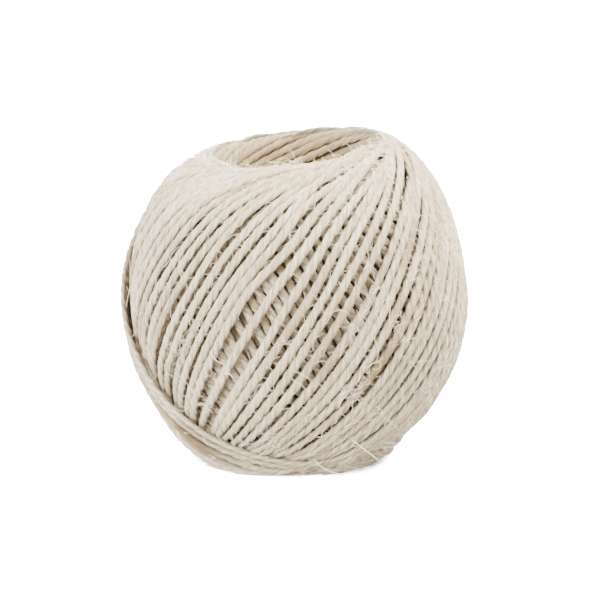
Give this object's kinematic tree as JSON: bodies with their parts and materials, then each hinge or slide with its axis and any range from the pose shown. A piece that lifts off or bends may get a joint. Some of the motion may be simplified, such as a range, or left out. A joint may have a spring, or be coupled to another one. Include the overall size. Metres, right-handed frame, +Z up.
{
  "type": "ball of string",
  "caption": "Machine-wound ball of natural fibre string with slanted turns, a funnel-shaped winding hole along its axis and a flat spot to rest on.",
  "frame": {"origin": "on the surface the ball rests on, under the middle of the ball", "axes": "+Z up along the winding axis, -Y towards the side seen in the picture, +X to the right in the picture"},
  "size_m": [0.0802, 0.0784, 0.0759],
  "materials": {
    "twine": "bleached plant-fibre twine, matt and hairy, cream with tan flecks"
  },
  "bodies": {
    "root": {"string_ball": "twine"}
  },
  "joints": []
}
